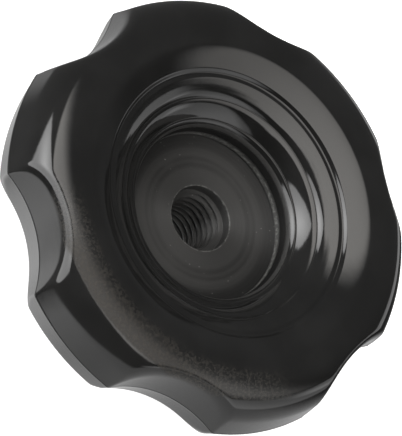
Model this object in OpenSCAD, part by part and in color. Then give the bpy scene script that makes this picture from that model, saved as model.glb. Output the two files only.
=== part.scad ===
// Six-lobed handwheel, moulded in one piece, with a stepped dish, a machined seat and a threaded hub.
// Millimetres, +Z up the hub's axis. The wheel lies on the end of its boss at Z = 0, with its face up.

/* [Rim] */
// Diameter across the lobes, at the parting line
wheel_d = 84; // [80:0.5:92]
// Number of lobes, and of finger scallops between them
lobe_count = 6; // [5:1:7]
// Depth of the rim behind the parting line
back_depth = 6.75; // [5:0.25:9]
// Height of the crown above the parting line
crown_h = 10.9; // [9.5:0.1:13]
// Diameter of the crown's highest circle
crown_d = 64.4; // [60:0.1:67]
// Height of the narrow land left where the two mould halves met
land_h = 0.3; // [0.1:0.1:0.8]
// Draft of the rim's side in front of the parting line, in degrees
front_draft = 11.5; // [6:0.5:14]
// Height of the straight side in front of the parting line
side_h = 5.2; // [3.5:0.1:6]
// Draft of the rim's side behind the parting line, in degrees
back_draft = 12; // [4:0.5:14]
// Radius of the rim's back edge
back_edge_r = 1.7; // [0.6:0.1:2.5]

/* [Scallops] */
// Depth of each finger scallop below the lobes, at the parting line
scallop_depth = 4.7; // [3:0.1:5.5]
// Radius of each finger scallop, at the parting line
scallop_r = 21.7; // [18:0.1:26]
// Draft of the scallops in front of the parting line, in degrees
scallop_front_draft = 2.8; // [1:0.1:6]
// Draft of the scallops behind the parting line, in degrees
scallop_back_draft = 8.7; // [2:0.1:12]
// Rounding in the middle of a scallop, where its wall runs out into the crown
scallop_edge_r = 2; // [1:0.1:3]

/* [Dish] */
// Width of the flat land along the crown's highest circle
crown_land_w = 1.5; // [0.6:0.1:2]
// Length of the quick turn from the land into the crown's slope
crown_turn = 0.9; // [0.5:0.1:1.2]
// Length of the crown's nearly straight slope, down to the dish
crown_run = 2.9; // [2:0.1:3.4]
// Slope of the crown where it meets the dish's edge, in degrees
crown_slope = 30; // [28:1:34]
// How far the dish's outer edge lies below the crown
dish_drop = 2.15; // [1.8:0.05:2.5]
// Width of the riser from the dish's edge down to the first ledge
riser_w = 0.66; // [0.5:0.02:1]
// Slope of the riser, in degrees
riser_slope = 46; // [40:1:55]
// Radius of the cove at the riser's foot
cove_r = 0.8; // [0.4:0.1:1]
// Width of the first ledge, from the riser's foot
ledge_1_w = 0.82; // [0.6:0.02:1.4]
// Slope of both bands where they leave their ledges, in degrees
band_slope = 31; // [26:1:34]
// Width of the upper band's straight part
band_1_w = 2.3; // [1.6:0.1:2.8]
// Radius over which the upper band rolls down to its foot
band_1_r = 3.6; // [2.5:0.1:5]
// Slope of the upper band's foot, in degrees
band_1_foot = 55; // [50:1:62]
// Width of the second ledge
ledge_2_w = 0.1; // [0.1:0.05:0.8]
// Width of the lower band's straight part
band_2_w = 0.65; // [0.4:0.05:1]
// Slope where the lower band's straight part turns into its roll, in degrees
band_2_turn = 36; // [35:1:40]
// Radius over which the lower band rolls down to its foot
band_2_r = 12.8; // [10:0.2:14]
// Slope of the lower band's foot, in degrees
band_2_foot = 50; // [46:1:52]
// Width of the third ledge
ledge_3_w = 0.25; // [0.1:0.05:0.8]
// Radius of the rounded edge that rolls over from the third ledge into the wall
wall_edge_r = 2.9; // [2:0.1:3.2]
// Slope of the rounded edge at the third ledge, in degrees
wall_edge_slope = 37; // [30:1:45]
// Draft of the moulded wall above the machined cut, in degrees
wall_draft = 4; // [0.5:0.5:6]

/* [Seat] */
// Diameter of the machined seat
seat_d = 33.3; // [30:0.1:35]
// Depth of the machined seat below the parting line
seat_depth = 2.4; // [1.5:0.1:3]
// How far the machined cut reaches up the wall
cut_h = 2; // [1:0.1:2.5]

/* [Hub] */
// Diameter of the boss at its end
boss_d = 30; // [24:0.5:32]
// Length of the boss behind the rim
boss_len = 13.25; // [10:0.25:16]
// Draft of the boss, in degrees
boss_draft = 3; // [1:0.5:5]
// Fillet between the boss and the rim's back
boss_fillet_r = 5; // [2:0.5:6]
// Rounding round the end of the boss
boss_edge_r = 0.8; // [0.4:0.1:1.5]

/* [Threaded hole] */
// Core diameter of the thread, M12 x 1.75 as tapped
core_d = 10.2; // [8.5:0.05:10.6]
// Diameter of the plain mouth above the thread
mouth_d = 12.9; // [12.1:0.1:14]
// Depth of the plain mouth below the seat
mouth_depth = 2.4; // [1.5:0.1:4]
// Diameter of the lead-in chamfer at the boss's end
lead_in_d = 13; // [12.5:0.1:14.5]

/* [Hidden] */

// Smoothness: straight pieces in each curve of the outlines, and sides of the round solids
shoulder_steps = 10;
slope_steps = 7;
band_steps = 5;
arc_steps = 4;
small_arc_steps = 3;
wheel_sides = 72;
scallop_sides = 60;
overlap = 2;

// Heights and radii worked out from the sizes above, from the boss's end up and the seat outwards
wheel_r = wheel_d / 2;
parting_z = boss_len + back_depth;
crown_z = parting_z + crown_h;
dish_z = crown_z - dish_drop;
ledge_1_z = dish_z - tan(riser_slope) * riser_w;
ledge_2_z = ledge_1_z - tan(band_slope) * band_1_w - band_1_r * (cos(band_slope) - cos(band_1_foot));
ledge_3_z = ledge_2_z - tan(band_slope) * band_2_w - band_2_r * (cos(band_2_turn) - cos(band_2_foot));
wall_z = ledge_3_z - wall_edge_r * (cos(wall_edge_slope) - sin(wall_draft));
seat_z = parting_z - seat_depth;
cut_z = seat_z + cut_h;
seat_r = seat_d / 2;
wall_top_r = seat_r + tan(wall_draft) * (wall_z - cut_z);
edge_top_r = wall_top_r + wall_edge_r * (cos(wall_draft) - sin(wall_edge_slope));
band_2_foot_r = edge_top_r + ledge_3_w;
band_2_top_r = band_2_foot_r + band_2_w + band_2_r * (sin(band_2_foot) - sin(band_2_turn));
band_1_foot_r = band_2_top_r + ledge_2_w;
band_1_top_r = band_1_foot_r + band_1_w + band_1_r * (sin(band_1_foot) - sin(band_slope));
riser_foot_r = band_1_top_r + ledge_1_w;
dish_r = riser_foot_r + riser_w;
crown_r = crown_d / 2;
land_r = crown_r - crown_land_w;

// A cubic curve that leaves its start along one handle and reaches its end along another
function curve(start, start_handle, end_handle, end, steps) = [
    for (i = [0 : steps])
        let (t = i / steps, u = 1 - t)
        u * u * u * start + 3 * u * u * t * (start + start_handle)
            + 3 * u * t * t * (end + end_handle) + t * t * t * end
];

// A round arc about a centre, between two angles in degrees
function arc(centre, r, from, to, steps) = [
    for (i = [0 : steps])
        let (angle = from + (to - from) * i / steps)
        centre + r * [cos(angle), sin(angle)]
];

// The corner at a point of an outline, rounded so that the arc meets both of its sides smoothly
function unit(v) = v / norm(v);
function rounded(before, point, after, r, steps) =
    let (
        back = unit(before - point),
        ahead = unit(after - point),
        half = acos(back * ahead) / 2,
        centre = point + unit(back + ahead) * r / sin(half),
        first = unit(point + back * r / tan(half) - centre),
        last = unit(point + ahead * r / tan(half) - centre),
        turn = 180 - 2 * half
    ) [
        for (i = [0 : steps])
            centre + r * (sin(turn * (1 - i / steps)) * first + sin(turn * i / steps) * last) / sin(turn)
    ];

// An arc that starts at a point and rolls over inwards and down, from one slope to another
function roll(start, r, slope_a, slope_b, steps) =
    arc(start + r * [sin(slope_a), -cos(slope_a)], r, 90 + slope_a, 90 + slope_b, steps);

// Outline of the boss and the rim's back, from the axis out to the parting line
boss_end = [boss_d / 2, 0];
boss_root = [boss_d / 2 + tan(boss_draft) * boss_len, boss_len];
back_edge = [wheel_r - tan(back_draft) * (back_depth - land_h / 2), boss_len];
back_land = [wheel_r, parting_z - land_h / 2];
back_outline = concat(
    [[0, 0]],
    rounded([0, 0], boss_end, boss_root, boss_edge_r, arc_steps),
    rounded(boss_end, boss_root, back_edge, boss_fillet_r, arc_steps),
    rounded(boss_root, back_edge, back_land, back_edge_r, arc_steps),
    [back_land]
);

// Outline of the rim's front, up its drafted side and over the crown to the dish's edge
front_land = [wheel_r, parting_z + land_h / 2];
side_top = [wheel_r - tan(front_draft) * side_h, parting_z + side_h];
crown_top = [crown_r, crown_z];
dish_edge = [dish_r, dish_z];
shoulder = curve(
    side_top,
    0.5 * (crown_z - side_top[1]) * [-sin(front_draft), cos(front_draft)],
    [0.68 * (side_top[0] - crown_r), 0],
    crown_top,
    shoulder_steps
);
crown_land = [land_r, crown_z];
slope = curve(
    crown_land,
    [-crown_turn, 0],
    crown_run * [cos(crown_slope), sin(crown_slope)],
    dish_edge,
    slope_steps
);

// Outline of the dish, from its edge down over the ledges to the middle of the seat
riser_foot = [riser_foot_r, ledge_1_z];
band_1_top = [band_1_top_r, ledge_1_z];
band_1_bend = band_1_top - band_1_w * [1, tan(band_slope)];
band_2_top = [band_2_top_r, ledge_2_z];
band_2_bend = band_2_top - band_2_w * [1, tan(band_slope)];
edge_top = [edge_top_r, ledge_3_z];
dish_outline = concat(
    [dish_edge],
    rounded(dish_edge, riser_foot, band_1_top, cove_r, small_arc_steps),
    [band_1_top],
    roll(band_1_bend, band_1_r, band_slope, band_1_foot, band_steps),
    [band_2_top],
    roll(band_2_bend, band_2_r, band_2_turn, band_2_foot, arc_steps),
    roll(edge_top, wall_edge_r, wall_edge_slope, 90 - wall_draft, band_steps),
    [[seat_r, cut_z], [seat_r, seat_z], [0, seat_z]]
);

// The turned form of the whole wheel, before its scallops and its hole
module blank() {
    rotate_extrude($fn = wheel_sides)
        polygon(concat(back_outline, [front_land], shoulder, slope, dish_outline));
}

// One finger scallop, as a round solid to cut away. It is narrowest at the parting line and drafted
// both ways from it. At both ends it flares out, so that its wall rolls over into the rim's back and
// into the crown, whose height and slope are read off the shoulder's outline.
scallop_centre_r = wheel_r - scallop_depth + scallop_r;
function crown_height(r) = lookup(r, shoulder);
crown_wall_r = scallop_r + tan(scallop_front_draft) * (crown_h - scallop_edge_r);
roll_r = scallop_centre_r - crown_wall_r - scallop_edge_r / 2;
roll_slope = atan2(crown_height(roll_r - 0.5) - crown_height(roll_r + 0.5), 1);
crown_roll = [
    crown_wall_r + scallop_edge_r,
    crown_height(scallop_centre_r - crown_wall_r - scallop_edge_r * (1 - sin(roll_slope)))
        - scallop_edge_r * cos(roll_slope)
];
back_wall_r = scallop_r + tan(scallop_back_draft) * (back_depth - back_edge_r);
back_roll = [back_wall_r + back_edge_r, boss_len + back_edge_r];
crown_roll_end = 98 + roll_slope;
back_roll_end = 255;
crown_roll_last = crown_roll + scallop_edge_r * [cos(crown_roll_end), sin(crown_roll_end)];
crown_run_out = crown_roll_last + 6 * overlap * [sin(crown_roll_end), -cos(crown_roll_end)];
scallop_outline = concat(
    [[0, boss_len - overlap], back_roll + [back_edge_r, -back_edge_r - overlap]],
    arc(back_roll, back_edge_r, back_roll_end, 180 + scallop_back_draft, arc_steps),
    [[scallop_r, parting_z]],
    arc(crown_roll, scallop_edge_r, 180 - scallop_front_draft, crown_roll_end, arc_steps),
    [crown_run_out, [crown_run_out[0], crown_z + 4 * overlap], [0, crown_z + 4 * overlap]]
);
module scallop() {
    rotate_extrude($fn = scallop_sides)
        polygon(scallop_outline);
}

// The threaded hole, at the thread's core diameter, with its plain mouth in the seat and its
// lead-in at the boss's end
module hole() {
    lead_in_h = (lead_in_d - core_d) / 2;
    translate([0, 0, -overlap])
        cylinder(d = core_d, h = seat_z + 2 * overlap, $fn = wheel_sides);
    translate([0, 0, seat_z - mouth_depth])
        cylinder(d = mouth_d, h = mouth_depth + overlap, $fn = wheel_sides);
    translate([0, 0, -overlap])
        cylinder(d1 = lead_in_d + 2 * overlap, d2 = core_d, h = lead_in_h + overlap, $fn = wheel_sides);
}

module wheel() {
    color([0.07, 0.07, 0.07])
        difference() {
            blank();
            for (i = [0 : lobe_count - 1])
                rotate((i + 0.5) * 360 / lobe_count)
                    translate([scallop_centre_r, 0, 0])
                        scallop();
            hole();
        }
}

wheel();
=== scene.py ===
"""A six-lobed moulded handwheel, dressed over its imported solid, with a studio round it.

The wheel is one surface of two parameters: the azimuth round the hub's axis, and the place along
the wheel's section. Everything is in the solid's frame, in metres, with +Z out of the dished face.
"""

import math

import bpy
import numpy as np
from mathutils import Matrix, Vector


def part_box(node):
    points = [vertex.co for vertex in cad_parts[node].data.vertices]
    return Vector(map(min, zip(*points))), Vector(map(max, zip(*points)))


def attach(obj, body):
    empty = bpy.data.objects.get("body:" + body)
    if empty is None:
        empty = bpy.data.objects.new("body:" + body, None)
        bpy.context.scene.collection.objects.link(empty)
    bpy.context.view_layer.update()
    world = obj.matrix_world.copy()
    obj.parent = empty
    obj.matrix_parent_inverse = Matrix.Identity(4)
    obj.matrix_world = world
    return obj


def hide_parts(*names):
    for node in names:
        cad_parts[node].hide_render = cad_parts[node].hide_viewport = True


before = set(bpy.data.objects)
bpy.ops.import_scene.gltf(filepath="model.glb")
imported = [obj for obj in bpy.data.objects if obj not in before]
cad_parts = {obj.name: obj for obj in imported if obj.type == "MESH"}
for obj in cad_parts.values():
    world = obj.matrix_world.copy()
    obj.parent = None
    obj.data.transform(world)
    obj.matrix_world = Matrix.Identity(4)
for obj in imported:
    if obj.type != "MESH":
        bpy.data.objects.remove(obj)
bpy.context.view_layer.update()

bl_info = {
    "name": "Moulded handwheel",
    "version": (1, 0, 0),
    "blender": (4, 5, 0),
    "location": "View3D > Sidebar > Handwheel",
    "description": "Builds a lobed phenolic handwheel with a stepped dish and a threaded hub",
    "category": "Mesh",
}

WHEEL_LOW, WHEEL_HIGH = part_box("wheel")
MM = 0.001


# ---------------------------------------------------------------- sizes, finishes and studio


def length(name, description, default_mm):
    """A length property whose default is given in millimetres."""
    return bpy.props.FloatProperty(
        name=name, description=description, default=default_mm * MM, min=0.0, precision=5, unit="LENGTH"
    )


def angle(name, description, default_deg):
    """An angle property whose default is given in degrees."""
    return bpy.props.FloatProperty(
        name=name, description=description, default=math.radians(default_deg), unit="ROTATION"
    )


def number(name, description, default, low, high):
    """A plain number property."""
    return bpy.props.FloatProperty(name=name, description=description, default=default, min=low, max=high)


def gloss(name, description, default):
    """A roughness, from 0 for a mirror to 1 for a matt surface."""
    return number(name, description, default, 0.0, 1.0)


def radiance(name, description, default):
    """The radiance of a light, where 1 shows as white."""
    return number(name, description, default, 0.0, 100.0)


def colour(name, description, default):
    """A colour property."""
    return bpy.props.FloatVectorProperty(
        name=name, description=description, default=default, size=3, subtype="COLOR", min=0.0, max=1.0
    )


class HandwheelRim(bpy.types.PropertyGroup):
    """Sizes of the rim and its scallops."""

    wheel_d: length("Wheel diameter", "Across the lobes", (WHEEL_HIGH.x - WHEEL_LOW.x) / MM)
    parting_z: length("Parting height", "Height of the parting line above the boss's end", 20.0)
    crown_z: length("Crown height", "Height of the crown above the boss's end", WHEEL_HIGH.z / MM)
    crown_d: length("Crown diameter", "Diameter of the crown's highest circle", 64.4)
    side_h: length("Straight side", "Height of the drafted side in front of the parting line", 5.2)
    front_draft: angle("Front draft", "Draft of the side in front of the parting line", 11.5)
    back_draft: angle("Back draft", "Draft of the side behind the parting line", 12.0)
    back_depth: length("Back depth", "Depth of the rim behind the parting line", 6.75)
    back_edge_r: length("Back edge", "Radius of the rim's back edge", 1.7)
    lobes: bpy.props.IntProperty(name="Lobes", description="Lobes round the rim", default=6, min=3, max=12)
    scallop_depth: length("Scallop depth", "Depth of a scallop below the lobes", 4.7)
    scallop_r: length("Scallop radius", "Radius of a scallop at the parting line", 21.7)
    scallop_front_draft: angle("Scallop front draft", "Draft of a scallop above the parting line", 2.8)
    scallop_back_draft: angle("Scallop back draft", "Draft of a scallop below the parting line", 8.7)
    corner_blend: length("Corner blend", "Blend where a scallop meets a lobe's side", 0.22)
    crown_blend: length("Crown blend", "Blend where a scallop runs out into the crown", 1.9)
    back_blend: length("Back blend", "Blend where a scallop meets the rim's back", 2.2)
    seam_h: length("Seam height", "How far the moulding seam stands up", 0.05)


class HandwheelDish(bpy.types.PropertyGroup):
    """Sizes of the stepped dish, the seat and the hub."""

    crown_land_w: length("Crown land", "Width of the flat land along the crown's highest circle", 1.5)
    crown_turn: length("Crown turn", "Length of the quick turn from the land into the crown's slope", 0.9)
    crown_run: length("Crown run", "Length of the crown's nearly straight slope", 2.9)
    crown_slope: angle("Crown slope", "Slope of the crown at the dish's edge", 30.0)
    dish_drop: length("Dish drop", "From the crown down to the dish's edge", 2.15)
    riser_w: length("Riser width", "Width of the riser from the dish's edge to the first ledge", 0.66)
    riser_slope: angle("Riser slope", "Slope of the riser", 46.0)
    cove_r: length("Cove radius", "Radius of the cove at the riser's foot", 0.8)
    ledge_1_w: length("First ledge", "Width of the first ledge, from the riser's foot", 0.82)
    band_slope: angle("Band slope", "Slope of both bands where they leave their ledges", 31.0)
    band_1_w: length("Upper band", "Width of the upper band's straight part", 2.3)
    band_1_low_w: length("Upper band's lower part", "Width of its steeper half, above the roll", 1.1)
    band_1_turn: angle("Upper turn", "Slope of the upper band's steeper half", 33.0)
    band_1_r: length("Upper roll", "Radius over which the upper band rolls down to its foot", 3.6)
    band_1_foot: angle("Upper foot", "Slope of the upper band's foot", 55.0)
    ledge_2_w: length("Second ledge", "Width of the second ledge", 0.1)
    band_2_w: length("Lower band", "Width of the lower band's straight part", 0.65)
    band_2_turn: angle("Lower turn", "Slope where the lower band's straight part turns into its roll", 36.0)
    band_2_r: length("Lower roll", "Radius over which the lower band rolls down to its foot", 12.8)
    band_2_foot: angle("Lower foot", "Slope of the lower band's foot", 50.0)
    ledge_3_w: length("Third ledge", "Width of the third ledge", 0.25)
    wall_edge_r: length("Wall edge", "Radius that rolls the third ledge into the wall", 2.9)
    wall_edge_slope: angle("Wall edge slope", "Slope of the rounded edge at the third ledge", 37.0)
    wall_draft: angle("Wall draft", "Draft of the moulded wall above the machined cut", 4.0)
    corner_r: length("Corner softness", "Length over which the dish's corners are softened", 0.07)
    seat_r: length("Seat radius", "Radius of the machined seat", 16.65)
    seat_depth: length("Seat depth", "Depth of the seat below the parting line", 2.4)
    cut_h: length("Cut height", "How far the machined cut reaches up the wall", 2.0)
    boss_r: length("Boss radius", "Radius of the boss at its end", 15.0)
    boss_draft: angle("Boss draft", "Draft of the boss", 3.0)
    boss_fillet_r: length("Boss fillet", "Fillet between the boss and the rim's back", 5.0)
    boss_edge_r: length("Boss edge", "Rounding round the boss's end", 0.8)


class HandwheelThread(bpy.types.PropertyGroup):
    """Sizes of the threaded hole."""

    pitch: length("Pitch", "Rise of the thread in one turn", 1.75)
    core_r: length("Core radius", "Radius of the thread's crests", 5.1)
    root_r: length("Root radius", "Radius of the thread's roots", 6.02)
    mouth_r: length("Mouth radius", "Radius of the plain mouth above the thread", 6.45)
    mouth_depth: length("Mouth depth", "Depth of the plain mouth below the seat", 2.4)
    lead_in_r: length("Lead-in radius", "Radius of the chamfer at the boss's end", 6.5)


class HandwheelFinish(bpy.types.PropertyGroup):
    """Colours and gloss of the moulded and the machined surfaces."""

    moulded: colour("Moulded", "Colour of the moulded skin", (0.012, 0.012, 0.0118))
    moulded_gloss: gloss("Moulded roughness", "Roughness of the moulded skin", 0.07)
    machined: colour("Machined", "Colour of the cut phenolic", (0.0315, 0.0312, 0.0305))
    speck: colour("Filler specks", "Colour of the filler that the cut lays open", (0.22, 0.22, 0.21))
    machined_gloss: gloss("Machined roughness", "Roughness of the cut phenolic", 0.46)
    rubbed_gloss: gloss("Rubbed roughness", "Roughness of the crown where it is rubbed dull", 0.26)
    dust: colour("Dust", "Colour of the dust on the rubbed crown", (0.038, 0.0352, 0.0315))
    film: colour("Dust film", "Share of each colour that the dusty crown still mirrors", (0.47, 0.45, 0.43))
    scuff: colour("Scuff", "Colour of the scuffed edge of the wall", (0.045, 0.0445, 0.0435))
    floor: colour("Studio floor", "Colour of the studio floor", (0.86, 0.86, 0.86))


class HandwheelStudio(bpy.types.PropertyGroup):
    """Where the camera stands, and how bright the studio is."""

    tilt: angle("Tilt", "Lean of the wheel's axis away from the line of sight", 37.06)
    roll: angle("Roll", "Turn of the wheel's axis in the picture", -28.1)
    azimuth: angle("Azimuth", "Direction in which the wheel leans away from the camera", 108.0)
    distance: length("Distance", "From the camera to the parting line's centre", 367.4)
    focal: number("Focal length", "Focal length on a 36 mm sensor, in millimetres", 161.2, 10.0, 400.0)
    shift_x: number("Shift across", "Sideways shift of the picture", -0.0151, -1.0, 1.0)
    shift_y: number("Shift up", "Upward shift of the picture", -0.0082, -1.0, 1.0)
    ceiling_tone: colour("Ceiling tone", "Colour of the box overhead", (1.0, 0.972, 0.935))
    ceiling_near: radiance("Ceiling light, middle", "Radiance of the long box overhead, in its middle", 3.02)
    ceiling_fade: radiance("Ceiling light, fade", "Loss of radiance from its middle to its far end", 2.15)
    window_near: radiance("Window light, middle", "Radiance of the window box, where it is brightest", 6.4)
    window_far: radiance("Window light, edges", "Radiance of the window box, away from its middle", 3.0)
    card: radiance("Reflector card", "Radiance of the grey card at the front right", 0.75)
    sweep: radiance("Paper sweep", "Radiance of the low strip of pale paper at the right", 0.95)
    table: radiance("Table glow", "Radiance of the pale table beside and below the wheel", 0.64)
    sky: radiance("Surroundings", "Radiance of the dark room round the boxes", 0.12)
    glow: number("Floor glow", "Light that the studio floor gives off by itself", 0.85, 0.0, 10.0)


# ---------------------------------------------------------------- curves in the section plane


def bezier(start, start_handle, end_handle, end, count):
    """Points of the cubic curve whose two handles lead away from its ends. Each is the average of start,
    start plus its handle, end plus its handle, and end, weighed by the four terms of (u + t) cubed, as t
    goes from 0 to 1 and u is 1 less t."""
    t = np.linspace(0.0, 1.0, count)[:, None]
    a, b = np.asarray(start, float), np.asarray(end, float)
    u = 1.0 - t
    return (
        u**3 * a
        + 3 * u**2 * t * (a + np.asarray(start_handle, float))
        + 3 * u * t**2 * (b + np.asarray(end_handle, float))
        + t**3 * b
    )


def roll(start, radius, slope_a, slope_b, count):
    """Points of an arc that starts at a point and rolls over inwards and down, from one slope to the
    other. Each point is the centre plus the radius times the normal (-sin s, cos s) of its slope s."""
    centre = np.asarray(start, float) + radius * np.array([math.sin(slope_a), -math.cos(slope_a)])
    s = np.linspace(slope_a, slope_b, count)
    return centre + radius * np.stack([-np.sin(s), np.cos(s)], 1)


def rounded(before, point, after, radius, count):
    """Points of the arc of that radius that is tangent to both sides of a corner. Its directions from
    the centre turn evenly from one side's normal to the other's."""
    before, point, after = (np.asarray(p, float) for p in (before, point, after))
    back = (before - point) / np.linalg.norm(before - point)
    ahead = (after - point) / np.linalg.norm(after - point)
    half = math.acos(float(back @ ahead)) / 2
    middle = (back + ahead) / np.linalg.norm(back + ahead)
    centre = point + middle * radius / math.sin(half)
    first = point + back * radius / math.tan(half) - centre
    last = point + ahead * radius / math.tan(half) - centre
    turn = math.pi - 2 * half
    s = np.linspace(0.0, 1.0, count)[:, None]
    return centre + (np.sin(turn * (1 - s)) * first + np.sin(turn * s) * last) / math.sin(turn)


def between(start, end, count):
    """Points that divide the straight line between two points evenly, without the two points."""
    s = np.linspace(0.0, 1.0, count + 2)[1:-1, None]
    return np.asarray(start, float) * (1 - s) + np.asarray(end, float) * s


def run_along(outline):
    """The length of an outline up to each of its points."""
    step = np.linalg.norm(np.diff(outline, axis=0), axis=1)
    return np.concatenate([[0.0], np.cumsum(step)])


def softened(outline, softness, spacing, turn):
    """The outline with its corners softened, and with its rows chosen anew. Each point becomes the
    average of the outline about it under a bell of that width, which keeps straight stretches straight.
    A row comes after each spacing along the outline, and after each turn of its direction."""
    run = run_along(outline)
    fine_steps = 8
    fine = np.arange(0.0, run[-1], softness / fine_steps)
    fine = np.append(fine, run[-1])
    dense = np.stack([np.interp(fine, run, outline[:, k]) for k in (0, 1)], 1)
    reach = 3 * fine_steps
    bell = np.exp(-0.5 * (np.arange(-reach, reach + 1) / fine_steps) ** 2)
    bell /= bell.sum()
    ends = [2 * dense[0] - dense[reach:0:-1], dense, 2 * dense[-1] - dense[-2 : -reach - 2 : -1]]
    long = np.concatenate(ends)
    smooth = np.stack([np.convolve(long[:, k], bell, "valid") for k in (0, 1)], 1)
    side = np.diff(smooth, axis=0)
    heading = np.unwrap(np.arctan2(side[:, 1], side[:, 0]))
    bend = np.concatenate([[0.0], np.abs(np.diff(heading)), [0.0]])
    total = np.cumsum(np.concatenate([[0.0], np.linalg.norm(side, axis=1) / spacing]) + bend / turn)
    count = int(math.ceil(total[-1])) + 1
    place = np.interp(np.linspace(0.0, total[-1], count), total, np.arange(len(smooth)))
    return np.stack([np.interp(place, np.arange(len(smooth)), smooth[:, k]) for k in (0, 1)], 1)


def smoothstep(low, high, x):
    """Three s squared less two s cubed, where s goes from 0 to 1 as x goes from low to high."""
    s = np.clip((x - low) / (high - low), 0.0, 1.0)
    return s * s * (3 - 2 * s)


# ---------------------------------------------------------------- the wheel's surface


# Spacing of the skin's rows along its section, and the turn of the dish's section that adds a row
RIM_SPACING, DISH_SPACING, SEAM_SPACING = 0.56 * MM, 0.42 * MM, 0.075 * MM
BACK_EDGE_SPACING, FLAT_BACK_SPACING, DISH_TURN = 0.42 * MM, 2.2 * MM, math.radians(9)
# How far inside the lobes' tips the wide spacing on the flat back begins
FLAT_BACK_INSET = 8 * MM
# Columns of the skin in one lobe's sector, and columns and thread rows of the hole
SECTOR_COLUMNS, HOLE_COLUMNS, HOLE_ROWS = 72, 132, 92
# Where the skin's parts meet: on the back outside the boss, on the seat inside its wall, on the seat
# outside the mouth, and on the boss's end outside the lead-in
BACK_JOIN_W, SEAT_JOIN_W, MOUTH_JOIN_W, END_JOIN_W = 8 * MM, 0.12 * MM, 0.75 * MM, 0.9 * MM
# Handles of the shoulder's curve, as shares of its run and of its rise
SHOULDER_RUN, SHOULDER_RISE = 0.68, 0.5
# The circle inside the rim that its rays start from: its radius, and its height over the parting line
CORE_R, CORE_LIFT = 30 * MM, 1.0 * MM
# Heights from the parting line over which the blend grows towards the crown and towards the back
FRONT_BLEND, BACK_BLEND = (1.5 * MM, 9.0 * MM), (-2.5 * MM, -6.5 * MM)
# Half widths of the seam's bell, and of the close rows beside it
SEAM_HALF_W, SEAM_ROWS_HALF_W = 0.13 * MM, 0.45 * MM
# Angles from a scallop's middle, in degrees, over which its flank's close columns begin and end, and
# the share of columns that they add there
FLANK_BEGINS, FLANK_ENDS, FLANK_CLOSENESS = (8.0, 11.0), (16.5, 19.5), 1.9
# The wheel's material slots, and the turn past which an edge stays sharp
MOULDED_SLOT, MACHINED_SLOT, SHARP_TURN = 0, 1, math.radians(38)


def dish_corners(rim, dish):
    """The corners of the dish's section, from its edge down to the rounded edge's top. Radius and height.
    The heights come down from the crown, and the radii are summed outwards from the seat's wall."""
    tan_band, cos_band, sin_band = (f(dish.band_slope) for f in (math.tan, math.cos, math.sin))
    riser_drop = math.tan(dish.riser_slope) * dish.riser_w
    drop_1 = tan_band * dish.band_1_w + dish.band_1_r * (cos_band - math.cos(dish.band_1_foot))
    turn_2, foot_2 = dish.band_2_turn, dish.band_2_foot
    drop_2 = tan_band * dish.band_2_w + dish.band_2_r * (math.cos(turn_2) - math.cos(foot_2))
    heights = rim.crown_z - np.cumsum([dish.dish_drop, riser_drop, 0.0, drop_1, 0.0, drop_2, 0.0])
    edge_drop = dish.wall_edge_r * (math.cos(dish.wall_edge_slope) - math.sin(dish.wall_draft))
    wall_h = heights[-1] - edge_drop - (rim.parting_z - dish.seat_depth + dish.cut_h)
    edge_w = dish.wall_edge_r * (math.cos(dish.wall_draft) - math.sin(dish.wall_edge_slope))
    edge_r = dish.seat_r + math.tan(dish.wall_draft) * wall_h + edge_w
    width_1 = dish.band_1_w + dish.band_1_r * (math.sin(dish.band_1_foot) - sin_band)
    width_2 = dish.band_2_w + dish.band_2_r * (math.sin(foot_2) - math.sin(turn_2))
    widths = [0.0, dish.ledge_3_w, width_2, dish.ledge_2_w, width_1, dish.ledge_1_w, dish.riser_w]
    return np.stack([(edge_r + np.cumsum(widths))[::-1], heights], 1)


def rim_outline(rim, dish):
    """The turned rim's section from the crown's land down its shoulder and its side to the flat back: a
    cubic curve for the shoulder, straight drafted sides and one arc. Radius and height."""
    wheel_r, crown_r = rim.wheel_d / 2 - rim.seam_h, rim.crown_d / 2
    z0, back_z = rim.parting_z, rim.parting_z - rim.back_depth
    crown_top = np.array([crown_r, rim.crown_z])
    crown_land = crown_top - [dish.crown_land_w, 0.0]
    side_top = np.array([wheel_r - math.tan(rim.front_draft) * rim.side_h, z0 + rim.side_h])
    run, rise = side_top[0] - crown_r, rim.crown_z - side_top[1]
    shoulder = bezier(
        crown_top,
        [SHOULDER_RUN * run, 0.0],
        SHOULDER_RISE * rise * np.array([-math.sin(rim.front_draft), math.cos(rim.front_draft)]),
        side_top,
        120,
    )
    parting = np.array([wheel_r, z0])
    back_edge = np.array([wheel_r - math.tan(rim.back_draft) * rim.back_depth, back_z])
    inner = np.array([dish.boss_r + BACK_JOIN_W, back_z])
    edge = rounded(parting, back_edge, inner, rim.back_edge_r, 24)
    side = [between(side_top, parting, 40), [parting], between(parting, edge[0], 40)]
    return np.concatenate([[crown_land], shoulder, *side, edge, between(edge[-1], inner, 60), [inner]])


def rim_rows(outline, rim):
    """Which places along the rim's outline get a row of points: evenly spaced along its length, with a
    closer spacing beside the parting line and round the back edge, and a wider one on the flat back."""
    run = run_along(outline)
    fine = np.linspace(0.0, run[-1], 6000)
    r, z = np.interp(fine, run, outline[:, 0]), np.interp(fine, run, outline[:, 1])
    back_z = rim.parting_z - rim.back_depth
    flat = (z < back_z + 0.01 * MM) & (r < rim.wheel_d / 2 - FLAT_BACK_INSET)
    back_edge = z < back_z + rim.back_edge_r
    spacing = np.select([flat, back_edge], [FLAT_BACK_SPACING, BACK_EDGE_SPACING], RIM_SPACING)
    seam = np.exp(-(((z - rim.parting_z) / SEAM_ROWS_HALF_W) ** 2))
    density = 1.0 / spacing + seam / SEAM_SPACING
    total = np.concatenate([[0.0], np.cumsum((density[1:] + density[:-1]) / 2 * np.diff(fine))])
    count = int(round(total[-1])) + 1
    place = np.interp(np.linspace(0.0, total[-1], count), total, fine)
    return np.stack([np.interp(place, fine, r), np.interp(place, fine, z)], 1)


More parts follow.
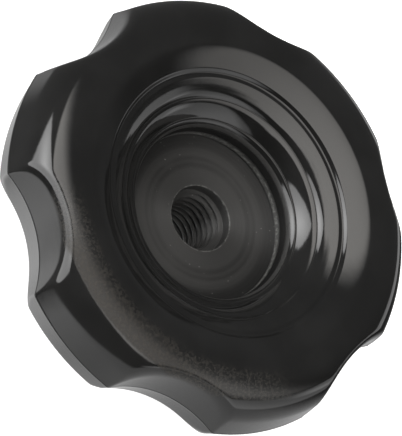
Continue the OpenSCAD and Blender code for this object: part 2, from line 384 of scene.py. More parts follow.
def azimuths(rim, per_lobe):
    """Angles round the axis. Their spacing is closest where the scallops' flanks meet the lobes."""
    sector = 2 * math.pi / rim.lobes
    u = np.linspace(-0.5, 0.5, 4001)
    delta = np.degrees(np.abs(u) * sector)
    flank = smoothstep(*FLANK_BEGINS, delta) * (1 - smoothstep(*FLANK_ENDS, delta))
    weight = 1.0 + FLANK_CLOSENESS * flank
    total = np.concatenate([[0.0], np.cumsum((weight[1:] + weight[:-1]) / 2)])
    inside = np.interp(np.arange(per_lobe) / per_lobe * total[-1], total, u) * sector
    centres = (np.arange(rim.lobes) + 0.5) * sector
    return np.sort(((centres[:, None] + inside[None, :]).ravel() + 2 * math.pi) % (2 * math.pi))


def scallop_distance(rim, core, cos_psi, sin_psi, delta):
    """How far along each ray from the rim's core the scallop's drafted wall lies. The wall is where the
    distance to the scallop's axis equals its radius plus the draft's tangent times the height from the
    parting line. It is found by halving, on the whole grid at once. A ray that meets no wall within its
    reach gets a distance beyond the rim."""
    reach = 25 * MM
    beyond = 60 * MM
    halvings = 34
    centre = rim.wheel_d / 2 - rim.scallop_depth + rim.scallop_r
    low = np.zeros(np.broadcast(cos_psi, delta).shape)
    high = np.full_like(low, reach)
    for _ in range(halvings):
        t = (low + high) / 2
        r = core[0] + t * cos_psi
        h = core[1] + t * sin_psi - rim.parting_z
        draft = np.where(h > 0, math.tan(rim.scallop_front_draft), math.tan(rim.scallop_back_draft))
        from_axis = np.sqrt(r**2 + centre**2 - 2 * r * centre * np.cos(delta))
        outside = from_axis > rim.scallop_r + draft * np.abs(h)
        low, high = np.where(outside, t, low), np.where(outside, high, t)
    return np.where(high > reach - 0.1 * MM, beyond, high)


def rim_surface(rim, dish, phi):
    """The rim as rays from a core circle inside it. Along each ray the surface lies at the lesser of the
    distances to the turned outline and to the scallop's wall. Where the two differ by less than the
    blend, a quarter of the blend comes off, times the square of 1 less their difference over the blend.
    The blend grows towards the crown and the back, and the seam adds a narrow bell."""
    rows = rim_rows(rim_outline(rim, dish), rim)
    core = np.array([CORE_R, rim.parting_z + CORE_LIFT])
    psi = np.arctan2(rows[:, 1] - core[1], rows[:, 0] - core[0])
    a = np.linalg.norm(rows - core, axis=1)[:, None]
    cos_psi, sin_psi = np.cos(psi)[:, None], np.sin(psi)[:, None]
    sector = 2 * math.pi / rim.lobes
    delta = (phi % sector - sector / 2)[None, :]
    b = scallop_distance(rim, core, cos_psi, sin_psi, delta)
    nearest = np.minimum(a, b)
    height = core[1] + nearest * sin_psi - rim.parting_z
    k = rim.corner_blend + (rim.crown_blend - rim.corner_blend) * smoothstep(*FRONT_BLEND, height)
    k = k + (rim.back_blend - rim.corner_blend) * smoothstep(*BACK_BLEND, height)
    m = nearest - k / 4 * np.clip(1 - np.abs(a - b) / k, 0.0, 1.0) ** 2
    height = core[1] + m * sin_psi - rim.parting_z
    m = m + rim.seam_h * np.exp(-((height / SEAM_HALF_W) ** 2)) * (cos_psi > 0)
    r, z = core[0] + m * cos_psi, core[1] + m * sin_psi
    return r * np.cos(phi), r * np.sin(phi), z


def dish_outline(rim, dish):
    """The dish's section from the crown's land down over the ledges to the seat, in two parts: the
    moulded one down to the machined cut, and the cut. The crown's slope is a cubic curve. The bands are
    straight and then roll over along arcs, and the upper one is steeper in its lower half. The corners
    between them are softened."""
    edge, riser_foot, top_1, _, top_2, _, edge_top = dish_corners(rim, dish)
    seat_z = rim.parting_z - dish.seat_depth
    cut = np.array([dish.seat_r, seat_z + dish.cut_h])
    crown_land = [rim.crown_d / 2 - dish.crown_land_w, rim.crown_z]
    crown_handle = dish.crown_run * np.array([math.cos(dish.crown_slope), math.sin(dish.crown_slope)])
    fall = np.array([1.0, math.tan(dish.band_slope)])
    steeper = np.array([1.0, math.tan(dish.band_1_turn)])
    band_1_middle = top_1 - (dish.band_1_w - dish.band_1_low_w) * fall
    band_1_end = band_1_middle - dish.band_1_low_w * steeper
    sharp = np.concatenate(
        [
            bezier(crown_land, [-dish.crown_turn, 0.0], crown_handle, edge, 80),
            rounded(edge, riser_foot, top_1, dish.cove_r, 30),
            [top_1, band_1_middle],
            roll(band_1_end, dish.band_1_r, dish.band_1_turn, dish.band_1_foot, 40),
            [top_2],
            roll(top_2 - dish.band_2_w * fall, dish.band_2_r, dish.band_2_turn, dish.band_2_foot, 40),
            roll(edge_top, dish.wall_edge_r, dish.wall_edge_slope, math.pi / 2 - dish.wall_draft, 40),
            [cut],
        ]
    )
    moulded = softened(sharp, dish.corner_r, DISH_SPACING, DISH_TURN)
    seat_edge = [dish.seat_r, seat_z]
    seat_start = [dish.seat_r - SEAT_JOIN_W, seat_z]
    return moulded, np.concatenate([[cut], between(cut, seat_edge, 5), [seat_edge, seat_start]])


def turned(outline, phi):
    """A section turned round the axis: its radius times the azimuth's cosine and sine, and its height."""
    r, z = outline[:, :1], outline[:, 1:]
    return r * np.cos(phi), r * np.sin(phi), z + 0 * phi


def thread_radius(thread, phi, z):
    """Radius of a right-hand internal thread. It depends on the phase z / pitch - phi / turn, as 0.65 of
    a trapezoid wave, with a crest a fifth and a root a seventh of the pitch wide, plus 0.35 of a
    smoothstep wave that softens its corners."""
    phase = (z / thread.pitch - phi / (2 * math.pi)) % 1.0
    away = np.abs(phase - 0.5) * 2
    trapezoid = np.clip((away - 0.20) / 0.66, 0.0, 1.0)
    wave = 0.35 * smoothstep(0.16, 0.90, away) + 0.65 * trapezoid
    return thread.core_r + (thread.root_r - thread.core_r) * wave


def hole_surface(rim, dish, thread, phi, rows):
    """The hole from its edge in the seat down to the boss's end: a plain mouth, its flat bottom, and the
    thread, whose radius is never under that of the lead-in cones at its two ends."""
    seat_z = rim.parting_z - dish.seat_depth
    mouth_z = seat_z - thread.mouth_depth
    mouth_r = thread.mouth_r
    break_w, break_h, corner, inset = 0.12 * MM, 0.10 * MM, 0.08 * MM, 0.9 * MM
    cone_start, cone_slope, gap = 0.25 * MM, 1.6, 0.02 * MM
    radii = [mouth_r + break_w, mouth_r, mouth_r, mouth_r, mouth_r, mouth_r - corner]
    heights = [seat_z, seat_z - break_h, seat_z - inset, mouth_z + inset, mouth_z + corner, mouth_z]
    top = np.stack([radii, heights], 1)
    z = np.linspace(mouth_z - gap, 0.0, rows)[:, None]
    r = thread_radius(thread, phi[None, :], z)
    r = np.maximum(r, thread.lead_in_r - z)
    r = np.maximum(r, thread.root_r - cone_start - (mouth_z - z) * cone_slope)
    thread_xyz = (r * np.cos(phi), r * np.sin(phi), z + 0 * phi)
    return tuple(np.concatenate(pair) for pair in zip(turned(top, phi), thread_xyz))


def grid_faces(rows, columns, first):
    """The quads of a grid that closes round its columns, as vertex numbers from first, wound so that
    they face outwards when the rows run from the dish over the crown to the back."""
    i, j = np.meshgrid(np.arange(rows - 1), np.arange(columns), indexing="ij")
    k = (j + 1) % columns
    quads = np.stack([i * columns + j, (i + 1) * columns + j, (i + 1) * columns + k, i * columns + k], -1)
    return quads.reshape(-1, 4) + first


def zip_rings(phi_a, first_a, phi_b, first_b):
    """Triangles that join two rings with different numbers of points. All the points are taken in the
    order of their angles, and each one makes a triangle with its next neighbour on its own ring and
    the last point passed on the other ring."""
    na, nb = len(phi_a), len(phi_b)
    angle_all = np.concatenate([phi_a, phi_b])
    ring = np.concatenate([np.zeros(na, int), np.ones(nb, int)])
    order = np.lexsort((ring, angle_all))
    on_a = ring[order] == 0
    at_a, at_b = np.cumsum(on_a) - 1, np.cumsum(~on_a) - 1
    next_a, next_b = at_a % na, at_b % nb
    last_a, last_b = (at_a - 1) % na, (at_b - 1) % nb
    from_a = np.stack([first_a + last_a, first_b + next_b, first_a + next_a], 1)
    from_b = np.stack([first_a + next_a, first_b + last_b, first_b + next_b], 1)
    return np.where(on_a[:, None], from_a, from_b)


def wheel_mesh(rim, dish, thread):
    """The whole closed skin: rows of the dish, the rim, the back and the boss on one ring of azimuths,
    and the rows of the hole on another, zipped together on the seat and on the boss's end."""
    phi = azimuths(rim, SECTOR_COLUMNS)
    phi_hole = np.linspace(0.0, 2 * math.pi, HOLE_COLUMNS, endpoint=False)
    seat_z = rim.parting_z - dish.seat_depth
    back_z = rim.parting_z - rim.back_depth

    moulded, machined = dish_outline(rim, dish)
    seat_inner = thread.mouth_r + MOUTH_JOIN_W
    seat = between([dish.seat_r - SEAT_JOIN_W, seat_z], [seat_inner, seat_z], 5)
    machined = np.concatenate([machined, seat, [[seat_inner, seat_z]]])

    root = [dish.boss_r + math.tan(dish.boss_draft) * back_z, back_z]
    end = [dish.boss_r, 0.0]
    rim_inner = [dish.boss_r + BACK_JOIN_W, back_z]
    end_inner = [thread.lead_in_r + END_JOIN_W, 0.0]
    fillet = rounded(rim_inner, root, end, dish.boss_fillet_r, 9)
    edge = rounded(root, end, [0.0, 0.0], dish.boss_edge_r, 5)
    back = np.concatenate(
        [fillet, between(fillet[-1], edge[0], 2), edge, between(edge[-1], end_inner, 2), [end_inner]]
    )

    front = [turned(machined[::-1], phi), turned(moulded[::-1], phi)]
    parts = [*front, rim_surface(rim, dish, phi), turned(back, phi)]
    body = [np.concatenate([p[axis] for p in parts]) for axis in range(3)]
    hole = hole_surface(rim, dish, thread, phi_hole, HOLE_ROWS)

    body_rows, hole_rows = len(body[0]), len(hole[0])
    body_count = body_rows * len(phi)
    points = np.concatenate([np.stack([c.ravel() for c in body], 1), np.stack([c.ravel() for c in hole], 1)])
    quads = np.concatenate(
        [grid_faces(body_rows, len(phi), 0), grid_faces(hole_rows, len(phi_hole), body_count)[:, ::-1]]
    )
    top_join = zip_rings(phi, 0, phi_hole, body_count)
    low_join = zip_rings(
        phi, (body_rows - 1) * len(phi), phi_hole, body_count + (hole_rows - 1) * len(phi_hole)
    )[:, ::-1]
    triangles = np.concatenate([top_join, low_join])

    slots = np.full(len(quads) + len(triangles), MACHINED_SLOT)
    slots[(len(machined) - 1) * len(phi) : (body_rows - 1) * len(phi)] = MOULDED_SLOT
    return points, quads, triangles, slots


def make_mesh(name, points, quads, triangles, slots):
    """A mesh from arrays of points, quads and triangles, with a material slot for each face."""
    mesh = bpy.data.meshes.new(name)
    mesh.vertices.add(len(points))
    mesh.vertices.foreach_set("co", points.astype(np.float32).ravel())
    corners = np.concatenate([quads.ravel(), triangles.ravel()]).astype(np.int32)
    mesh.loops.add(len(corners))
    mesh.loops.foreach_set("vertex_index", corners)
    starts = np.concatenate(
        [np.arange(len(quads)) * 4, len(quads) * 4 + np.arange(len(triangles)) * 3]
    ).astype(np.int32)
    mesh.polygons.add(len(starts))
    mesh.polygons.foreach_set("loop_start", starts)
    mesh.polygons.foreach_set("material_index", slots.astype(np.int32))
    mesh.polygons.foreach_set("use_smooth", np.ones(len(starts), bool))
    mesh.update(calc_edges=True)
    if mesh.validate():
        raise RuntimeError(f"the mesh of {name} had faces that are not valid")
    mesh.set_sharp_from_angle(angle=SHARP_TURN)
    obj = bpy.data.objects.new(name, mesh)
    bpy.context.scene.collection.objects.link(obj)
    return obj


# ---------------------------------------------------------------- finishes


# The sides on which the crown is rubbed dull and has its dusty film, as azimuth and elevation in
# degrees, and how far out towards them both begin and are full, as shares of the crown's radius
RUBBED_SIDE, RUBBED_FROM, RUBBED_FULL = (312, 0), 0.6, 0.86
FILMED_SIDE, FILMED_FROM, FILMED_FULL = (304, 0), 0.86, 1.08
WHITE = (1.0, 1.0, 1.0, 1.0)


def towards(azimuth, elevation):
    """The direction at an azimuth from +X and an elevation above the floor, in degrees."""
    a, e = math.radians(azimuth), math.radians(elevation)
    return Vector((math.cos(e) * math.cos(a), math.cos(e) * math.sin(a), math.sin(e)))


class Nodes:
    """A short way to add nodes to a material or a world and to link them."""

    def __init__(self, block):
        self.block = block
        block.use_nodes = True
        self.tree = block.node_tree
        self.tree.nodes.clear()

    def feed(self, node, inputs):
        """Links each input to a socket, or sets its value."""
        for key, value in inputs.items():
            if isinstance(value, bpy.types.NodeSocket):
                self.tree.links.new(value, node.inputs[key])
            else:
                node.inputs[key].default_value = value

    def add(self, kind, inputs=None, **settings):
        """A new node with its settings and its inputs."""
        node = self.tree.nodes.new(kind)
        for key, value in settings.items():
            setattr(node, key, value)
        self.feed(node, inputs or {})
        return node

    def math(self, operation, a, b=0.0, c=0.0):
        """One step of arithmetic."""
        return self.add("ShaderNodeMath", {0: a, 1: b, 2: c}, operation=operation).outputs[0]

    def product(self, first, *others):
        """All the values multiplied together."""
        for other in others:
            first = self.math("MULTIPLY", first, other)
        return first

    def dot(self, a, b):
        """The dot product of two vectors."""
        return self.add("ShaderNodeVectorMath", {0: a, 1: b}, operation="DOT_PRODUCT").outputs["Value"]

    def noise(self, place, scale, detail, roughness=0.5):
        """Fractal noise about 0.5."""
        inputs = {"Vector": place, "Scale": scale, "Detail": detail, "Roughness": roughness}
        return self.add("ShaderNodeTexNoise", inputs).outputs["Fac"]

    def ramp(self, value, low, high, to_low=0.0, to_high=1.0):
        """A smoothstep from to_low to to_high, as the value goes from low to high."""
        inputs = {"Value": value, "From Min": low, "From Max": high, "To Min": to_low, "To Max": to_high}
        return self.add("ShaderNodeMapRange", inputs, interpolation_type="SMOOTHSTEP").outputs["Result"]

    def towards(self, vector, side, low, high, *levels):
        """The ramp of how far a vector reaches out towards a side's azimuth and elevation."""
        return self.ramp(self.dot(vector, towards(*side)), low, high, *levels)

    def past(self, value, origin, low_mm, high_mm, *levels):
        """The ramp between two places that are given in millimetres past an origin."""
        return self.ramp(value, origin + low_mm * MM, origin + high_mm * MM, *levels)

    def stripe(self, value, middle, none_mm, full_mm):
        """1 within full_mm of the middle, and 0 beyond none_mm from it."""
        away = self.math("ABSOLUTE", self.math("SUBTRACT", value, middle))
        return self.ramp(away, none_mm * MM, full_mm * MM)

    def mix(self, factor, a, b):
        """The colour a where the factor is 0, going over to b where it is 1."""
        node = self.add("ShaderNodeMix", data_type="RGBA")
        colour_inputs = {0: factor, 6: a, 7: b}
        self.feed(node, colour_inputs)
        return node.outputs[2]

    def wheel_places(self):
        """A point's place, its height, its distance from the hub's axis, and the last two as a vector."""
        place = self.add("ShaderNodeTexCoord").outputs["Object"]
        z = self.dot(place, (0.0, 0.0, 1.0))
        level = self.add("ShaderNodeVectorMath", {0: place, 1: (1.0, 1.0, 0.0)}, operation="MULTIPLY")
        inputs = {0: level.outputs["Vector"]}
        radius = self.add("ShaderNodeVectorMath", inputs, operation="LENGTH").outputs["Value"]
        section = self.add("ShaderNodeCombineXYZ", {"X": radius, "Y": z}).outputs[0]
        return place, z, radius, section

    def finish(self, inputs, height, strength, depth):
        """Ends a material in a shader with a relief, and hands the material back."""
        bump = self.add("ShaderNodeBump", {"Height": height, "Strength": strength, "Distance": depth})
        shader = self.add("ShaderNodeBsdfPrincipled", {**inputs, "Normal": bump.outputs["Normal"]})
        self.add("ShaderNodeOutputMaterial", {"Surface": shader.outputs["BSDF"]})
        return self.block


def opaque(rgb, gain=1.0):
    """A colour times a gain, with full alpha."""
    return (rgb[0] * gain, rgb[1] * gain, rgb[2] * gain, 1.0)


def moulded_phenolic(finish, rim, dish):
    """The moulded skin: black, glossy, with the faint orange peel and cloudiness of a pressed part. The
    crown is rubbed dull towards one side, where a dusty film also mirrors less, the dish's mould shows
    its turned rings, the wall's edge is scuffed, and the moulding seam is dark and rough. Each mask is
    the product of ramps across the places that bound it and of spotty noise."""
    n = Nodes(bpy.data.materials.new("phenolic_moulded"))
    place, z, radius, section = n.wheel_places()
    peel = n.noise(place, 420.0, 2.0)
    cloud = n.noise(place, 70.0, 3.0, 0.6)
    dust = n.noise(place, 2600.0, 1.0)
    spots = n.noise(place, 1900.0, 4.0, 0.65)
    rings = n.noise(section, 3000.0, 2.0)

    crown_r, wheel_r = rim.crown_d / 2, rim.wheel_d / 2
    rub = n.product(
        n.towards(place, RUBBED_SIDE, RUBBED_FROM * crown_r, RUBBED_FULL * crown_r),
        n.past(radius, crown_r, -0.8, 1.4),
        n.past(radius, crown_r, 5.8, 5.2),
        n.past(z, rim.crown_z, -3.6, -2.4),
        n.ramp(spots, 0.3, 0.55, 0.6, 1.0),
    )
    film = n.product(n.towards(place, FILMED_SIDE, FILMED_FROM * crown_r, FILMED_FULL * crown_r), rub)
    wall_edge = n.stripe(radius, dish.seat_r + 0.36 * MM, 0.26, 0.14)
    scuff = n.product(wall_edge, n.ramp(spots, 0.3, 0.6, 0.75, 1.0))
    seam = n.product(
        n.stripe(z, rim.parting_z, 0.22, 0.12),
        n.ramp(radius, 0.78 * wheel_r, 0.8 * wheel_r),
        n.ramp(spots, 0.32, 0.5, 0.45, 1.0),
    )

    base = n.mix(n.ramp(cloud, 0.35, 0.7), opaque(finish.moulded, 0.85), opaque(finish.moulded, 1.2))
    base = n.mix(n.product(rub, n.ramp(spots, 0.42, 0.64, 0.0, 0.8)), base, opaque(finish.dust))
    base = n.mix(scuff, base, opaque(finish.scuff))
    base = n.mix(seam, base, opaque(finish.moulded, 0.2))
    rough = n.ramp(cloud, 0.3, 0.75, finish.moulded_gloss * 0.85, finish.moulded_gloss * 1.3)
    rough = n.math("MULTIPLY_ADD", rub, finish.rubbed_gloss - finish.moulded_gloss, rough)
    rough = n.math("MAXIMUM", rough, n.product(scuff, 0.4))
    rough = n.math("MAXIMUM", rough, n.product(seam, 0.7))
    height = n.math("MULTIPLY_ADD", dust, 0.06, peel)
    tooled = n.past(radius, crown_r, -5.0, -7.0, 0.0, 0.1)
    height = n.math("MULTIPLY_ADD", rings, tooled, height)
    tint = n.mix(film, WHITE, opaque(finish.film))
    inputs = {"Base Color": base, "Roughness": rough, "IOR": 1.6, "Specular Tint": tint}
    return n.finish(inputs, height, strength=0.12, depth=0.08 * MM)


def machined_phenolic(finish, rim, dish, mouth_r):
    """The cut phenolic: dull grey-black, with painted shade that darkens the seat beside the wall, the
    tool's rings round the axis, which catch the light in two sectors, and torn specks of filler that crowd
    along the cut's upper edge and the hole's edge. Each mask is a product of ramps and of noise."""
    n = Nodes(bpy.data.materials.new("phenolic_machined"))
    place, z, radius, section = n.wheel_places()
    rings = n.noise(section, 3200.0, 3.0, 0.7)
    bands = n.noise(section, 420.0, 2.0)
    grain = n.noise(place, 1500.0, 4.0, 0.7)
    cloud = n.noise(place, 130.0, 3.0)
    cells = n.add("ShaderNodeTexVoronoi", {"Vector": place, "Scale": 1500.0})
    chance = n.add("ShaderNodeSeparateXYZ", {"Vector": cells.outputs["Color"]}).outputs[0]

    seat_z = rim.parting_z - dish.seat_depth
    lip = n.product(
        n.past(z, seat_z, 0.2, 0.8),
        n.past(z, seat_z, 2.0, 1.0),
        n.past(radius, dish.seat_r, -0.3, -0.1),
    )
    burr = n.product(n.stripe(radius, mouth_r + 0.06 * MM, 0.22, 0.1), n.past(z, seat_z, -0.5, -0.25))
    speck = n.product(
        n.ramp(cells.outputs["Distance"], 0.22, 0.1),
        n.ramp(chance, 0.84, 0.88),
        n.ramp(cloud, 0.42, 0.62),
    )
    speck = n.math("MAXIMUM", speck, n.product(lip, n.ramp(grain, 0.45, 0.62, 0.3, 1.0)))
    speck = n.math("MAXIMUM", speck, n.product(burr, n.ramp(grain, 0.42, 0.6, 0.02, 0.4)))
    light = opaque(finish.machined, 1.25)
    # Painted shade: the seat's colour darkens towards the wall, where the wall shades it
    painted_shade_beside_wall = n.past(radius, dish.seat_r, -3.8, -1.4, 0.0, 0.7)
    base = n.mix(n.ramp(bands, 0.35, 0.65), opaque(finish.machined, 0.8), light)
    base = n.mix(n.ramp(cloud, 0.45, 0.7, 0.0, 0.5), base, light)
    base = n.mix(painted_shade_beside_wall, base, opaque(finish.moulded))
    base = n.mix(speck, base, opaque(finish.speck))
    tangent = n.add("ShaderNodeTangent", direction_type="RADIAL", axis="Z")
    inputs = {
        "Base Color": base,
        "Roughness": n.ramp(rings, 0.3, 0.7, finish.machined_gloss * 0.85, finish.machined_gloss * 1.2),
        "IOR": 1.5,
        "Anisotropic": 0.9,
        "Anisotropic Rotation": 0.25,
        "Tangent": tangent.outputs["Tangent"],
    }
    return n.finish(inputs, n.math("MULTIPLY_ADD", grain, 0.5, rings), strength=0.5, depth=0.06 * MM)


def studio_floor(finish, studio):
    """The studio's floor: plain, pale and matt, with a trace of paper tooth and a soft glow of its own."""
    n = Nodes(bpy.data.materials.new("studio_floor"))
    tooth = n.noise(n.add("ShaderNodeTexCoord").outputs["Object"], 900.0, 2.0)
    inputs = {
        "Base Color": opaque(finish.floor),
        "Roughness": 0.9,
        "Emission Color": WHITE,
        "Emission Strength": studio.glow,
    }
    return n.finish(inputs, tooth, strength=0.05, depth=0.2 * MM)


# ---------------------------------------------------------------- the studio


# Corners of the overhead box, the window and the card as seen from the wheel, as azimuth and elevation
# in degrees, and the widths of their soft edges in degrees
CEILING_BOX = [(-178, 43), (-141, 50), (-105, 60), (-26, 51), (28, 43), (60, 26), (113, 38)]
CEILING_EDGES = [5.0, 4.0, 4.0, 6.0, 6.0, 6.0, 4.0]
WINDOW_BOX = [
    (-151, 22), (-146, 33), (-133, 50), (-96, 42), (-83, 36),
    (-84, -11), (-91, -18), (-111, -27), (-135, -29), (-153, -9),
]
WINDOW_EDGES = [3.0, 3.0, 3.0, 3.0, 8.0, 4.0, 3.0, 3.0, 3.0, 3.0]
CARD_BOX = [(-24, 26), (-19, 30), (20, 38), (49, 29), (64, 5), (58, -6), (21, 11), (-1, 13)]
CARD_EDGES = [5.0] * len(CARD_BOX)
# What bounds or brightens a light: a side as azimuth and elevation in degrees, and the cosines of the
# angles from it at which the change begins and is full
CEILING_SHADE = (120, 11), 0.54, 0.29
WINDOW_BLIND = (176, -18), 0.625, 0.575
SWEEP_TOP = (153, 53), 0.303, 0.287
SWEEP_FOOT = (153, 53), 0.08, 0.12
SWEEP_END = (82, 3), 0.7, 0.86
TABLE_TILT = (-128, 42), 0.03, -0.13
TABLE_PATCH = (-128, -76), 0.92, 0.985
# The same cosines from the camera's lower left corner, its right and its top
TABLE_CORNER, TABLE_LEFT, ROOM_TOP = (-0.3, 0.2), (-0.55, -1.0), (-0.45, 0.3)
# How much brighter the table is at the left and in its patch
TABLE_LEFT_GAIN, TABLE_PATCH_GAIN = 1.9, 1.7
# Where the window is brightest, and the power of the cosine by which it fades from there
WINDOW_SUN, WINDOW_SUN_POWER = (-125, 27), 24.0


def camera_axes(studio):
    """The camera's right, up and backward directions. The wheel's axis leans by tilt in the plane of
    azimuth, and the picture is rolled about the line of sight."""
    azimuth, tilt, turn = studio.azimuth, studio.tilt, studio.roll
    lean = Vector((math.cos(azimuth), math.sin(azimuth), 0.0))
    side = Vector((math.sin(azimuth), -math.cos(azimuth), 0.0))
    above = lean * math.cos(tilt) + Vector((0, 0, math.sin(tilt)))
    back = lean * -math.sin(tilt) + Vector((0, 0, math.cos(tilt)))
    right = above * math.cos(turn) - side * math.sin(turn)
    down = above * math.sin(turn) + side * math.cos(turn)
    return right, -down, back


def soft_box(n, ray, corners, softness):
    """How far a direction lies inside a soft-edged box, seen from the wheel: the product, over the box's
    edges, of a smoothstep of the sine of the angle between the direction and the plane through that edge
    and the wheel. Softness is the width of the edges in degrees."""
    corners = [towards(*corner) for corner in corners]
    middle = sum(corners, Vector((0.0, 0.0, 0.0)))
    inside = 1.0
    for corner, following, width in zip(corners, corners[1:] + corners[:1], softness):
        normal = corner.cross(following).normalized()
        normal = normal if normal.dot(middle) > 0 else -normal
        sine = n.dot(ray, normal)
        half = math.sin(math.radians(width / 2))
        inside = n.math("MULTIPLY", inside, n.ramp(sine, -half, half))
    return inside


def ceiling_light(n, ray, across, studio):
    """The radiance of the long box overhead: its middle's less the fade times how far to the right a
    direction points, inside the box's edges and outside a small circle."""
    box = soft_box(n, ray, CEILING_BOX, CEILING_EDGES)
    shade = n.towards(ray, *CEILING_SHADE)
    fade = n.math("SUBTRACT", studio.ceiling_near, n.product(across, studio.ceiling_fade))
    return n.product(box, shade, fade)


def window_light(n, ray, studio):
    """The radiance of the window's box, inside its edges and outside a small circle. It falls from its
    brightest to that of its edges with a power of the cosine of the angle from its middle."""
    box = soft_box(n, ray, WINDOW_BOX, WINDOW_EDGES)
    blind = n.towards(ray, *WINDOW_BLIND)
    sun = n.math("POWER", n.math("MAXIMUM", n.dot(ray, towards(*WINDOW_SUN)), 0.0), WINDOW_SUN_POWER)
    sun = n.math("MULTIPLY_ADD", sun, studio.window_near - studio.window_far, studio.window_far)
    return n.product(box, blind, sun)


def sweep_light(n, ray, studio):
    """The radiance of the paper sweep: a strip between two small circles about one axis, which fades out
    with the angle from its middle."""
    end = n.towards(ray, *SWEEP_END, 0.0, studio.sweep)
    return n.product(n.towards(ray, *SWEEP_TOP), n.towards(ray, *SWEEP_FOOT), end)


def table_light(n, ray, across, right, up, studio):
    """The radiance of the pale table: below a tilted great circle and towards the camera's lower left
    corner, times a gain towards the left and another in the patch."""
    return n.product(
        n.towards(ray, *TABLE_TILT),
        n.ramp(n.dot(ray, -(right + up).normalized()), *TABLE_CORNER),
        n.ramp(across, *TABLE_LEFT, studio.table, studio.table * TABLE_LEFT_GAIN),
        n.towards(ray, *TABLE_PATCH, 1.0, TABLE_PATCH_GAIN),
    )


def studio_light(studio, right, up):
    """The light round the wheel, as a radiance for each direction. It is the sum of a dark room, a long
    warm box overhead that fades to one end, a window box at the left, a dim card at the front right, a
    low strip of paper sweep at the right, and the glow of a pale table beside and below. What the camera
    sees past the floor is a plain pale wall."""
    n = Nodes(bpy.data.worlds.new("studio_light"))
    ray = n.add("ShaderNodeTexCoord").outputs["Generated"]
    across = n.dot(ray, right)
    ceiling = ceiling_light(n, ray, across, studio)
    window = window_light(n, ray, studio)
    card = n.product(soft_box(n, ray, CARD_BOX, CARD_EDGES), studio.card)
    card = n.math("ADD", card, sweep_light(n, ray, studio))
    table = table_light(n, ray, across, right, up, studio)
    room = n.ramp(n.dot(ray, up), *ROOM_TOP, 0.0, studio.sky)
    light = n.math("ADD", n.math("ADD", ceiling, window), n.math("ADD", n.math("ADD", table, card), room))
    wall = n.add("ShaderNodeLightPath").outputs["Is Camera Ray"]
    unseen = n.math("SUBTRACT", 1.0, wall)
    strength = n.math("ADD", n.product(light, unseen), wall)
    warmth = n.product(n.math("MINIMUM", ceiling, 1.0), unseen)
    tone = n.mix(warmth, WHITE, opaque(studio.ceiling_tone))
    background = n.add("ShaderNodeBackground", {"Color": tone, "Strength": strength})
    n.add("ShaderNodeOutputWorld", {"Surface": background.outputs["Background"]})
    return n.block


class HANDWHEEL_OT_wheel(bpy.types.Operator):
    """Build the moulded wheel as one closed skin over its solid"""

    bl_idname = "handwheel.wheel"
    bl_label = "Moulded wheel"

    def execute(self, context):
        """Makes the skin, gives it its two finishes, and puts it in its solid's place."""
        scene = context.scene
        rim, dish, thread = scene.handwheel_rim, scene.handwheel_dish, scene.handwheel_thread
        finish = scene.handwheel_finish
        wheel = make_mesh("moulded_wheel", *wheel_mesh(rim, dish, thread))
        wheel.data.materials.append(moulded_phenolic(finish, rim, dish))
        wheel.data.materials.append(machined_phenolic(finish, rim, dish, thread.mouth_r))
        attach(wheel, "root")
        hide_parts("wheel")
        return {"FINISHED"}


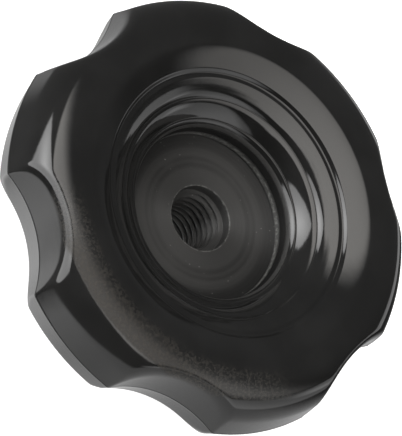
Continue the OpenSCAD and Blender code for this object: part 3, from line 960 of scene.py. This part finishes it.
class HANDWHEEL_OT_stage(bpy.types.Operator):
    """Build the floor, the lights and the camera"""

    bl_idname = "handwheel.stage"
    bl_label = "Studio"

    def execute(self, context):
        """Makes a pale floor just under the boss's end, the light round the wheel and the camera."""
        scene, studio = context.scene, context.scene.handwheel_studio
        reach = 3.0
        low = -0.05 * MM
        corners = np.array([[x * reach, y * reach, low] for x, y in ((-1, -1), (1, -1), (1, 1), (-1, 1))])
        quad, no_triangles = np.array([[0, 1, 2, 3]]), np.zeros((0, 3), int)
        floor = make_mesh("studio_floor", corners, quad, no_triangles, np.zeros(1, int))
        floor.data.materials.append(studio_floor(scene.handwheel_finish, studio))
        floor.visible_glossy = False

        middle = Vector((0.0, 0.0, scene.handwheel_rim.parting_z))
        right, up, back = camera_axes(studio)
        scene.world = studio_light(studio, right, up)
        scene.view_settings.view_transform = "Standard"

        data = bpy.data.cameras.new("camera")
        data.sensor_fit = "AUTO"
        data.sensor_width = 36.0
        data.lens = studio.focal
        data.shift_x, data.shift_y = studio.shift_x, studio.shift_y
        data.clip_start, data.clip_end = 0.01, 20.0
        camera = bpy.data.objects.new("camera", data)
        scene.collection.objects.link(camera)
        turn = Matrix((right, up, back)).transposed().to_4x4()
        turn.translation = middle + back * studio.distance
        camera.matrix_world = turn
        scene.camera = camera
        return {"FINISHED"}


class HANDWHEEL_PT_panel(bpy.types.Panel):
    """The handwheel's operators, with their sizes and finishes"""

    bl_idname = "HANDWHEEL_PT_panel"
    bl_label = "Handwheel"
    bl_space_type = "VIEW_3D"
    bl_region_type = "UI"
    bl_category = "Handwheel"

    def draw(self, context):
        """Lists each operator above its groups of values."""
        *wheel_groups, studio_group = GROUPS
        for operator, names in ((HANDWHEEL_OT_wheel, wheel_groups), (HANDWHEEL_OT_stage, [studio_group])):
            self.layout.operator(operator.bl_idname)
            for name in names:
                box = self.layout.box()
                group = getattr(context.scene, name)
                for key in group.__annotations__:
                    box.prop(group, key)


GROUPS = {
    "handwheel_rim": HandwheelRim,
    "handwheel_dish": HandwheelDish,
    "handwheel_thread": HandwheelThread,
    "handwheel_finish": HandwheelFinish,
    "handwheel_studio": HandwheelStudio,
}
CLASSES = (*GROUPS.values(), HANDWHEEL_OT_wheel, HANDWHEEL_OT_stage, HANDWHEEL_PT_panel)


def register():
    """Registers the classes and hangs their values on the scene."""
    for cls in CLASSES:
        bpy.utils.register_class(cls)
    for name, group in GROUPS.items():
        setattr(bpy.types.Scene, name, bpy.props.PointerProperty(type=group))


def unregister():
    """Takes back what register() did."""
    for name in GROUPS:
        delattr(bpy.types.Scene, name)
    for cls in reversed(CLASSES):
        bpy.utils.unregister_class(cls)


def main():
    """Builds the wheel and its studio."""
    register()
    bpy.ops.handwheel.wheel()
    bpy.ops.handwheel.stage()


if __name__ == "__main__":
    main()
